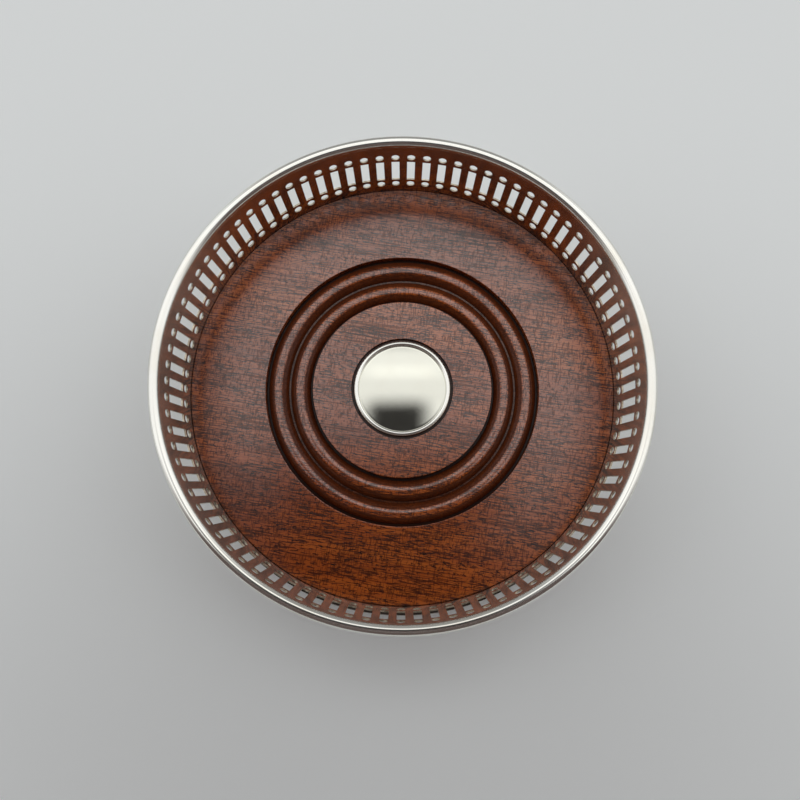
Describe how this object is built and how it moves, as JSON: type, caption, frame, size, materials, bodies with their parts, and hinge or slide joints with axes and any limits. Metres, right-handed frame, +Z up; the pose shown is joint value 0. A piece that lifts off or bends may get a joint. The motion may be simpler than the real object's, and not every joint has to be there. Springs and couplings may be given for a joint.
{
  "type": "wine bottle coaster",
  "caption": "Round wine bottle coaster: turned mahogany base with beaded rings and a domed silver boss, inside a flared pierced silver gallery with a round wire rim; green baize underneath.",
  "frame": {"origin": "on the table at the middle of the baize underside", "axes": "+Z up along the axis of the coaster, +Y away from the viewer of the picture"},
  "size_m": [0.13, 0.13, 0.0325],
  "materials": {
    "mahogany": "dark mahogany under a clear gloss lacquer",
    "silver": "polished sterling silver with fine hand-polishing marks",
    "brass": "plain turned brass",
    "baize": "green wool baize"
  },
  "bodies": {
    "root": {"base": "mahogany", "gallery": "silver", "rim_wire": "silver", "foot_ring": "silver", "boss_plate": "silver", "boss_bezel": "silver", "boss_stud": "brass", "boss_washer": "brass", "boss_nut": "brass", "gallery_pins": "silver", "baize_pad": "baize"}
  },
  "joints": []
}
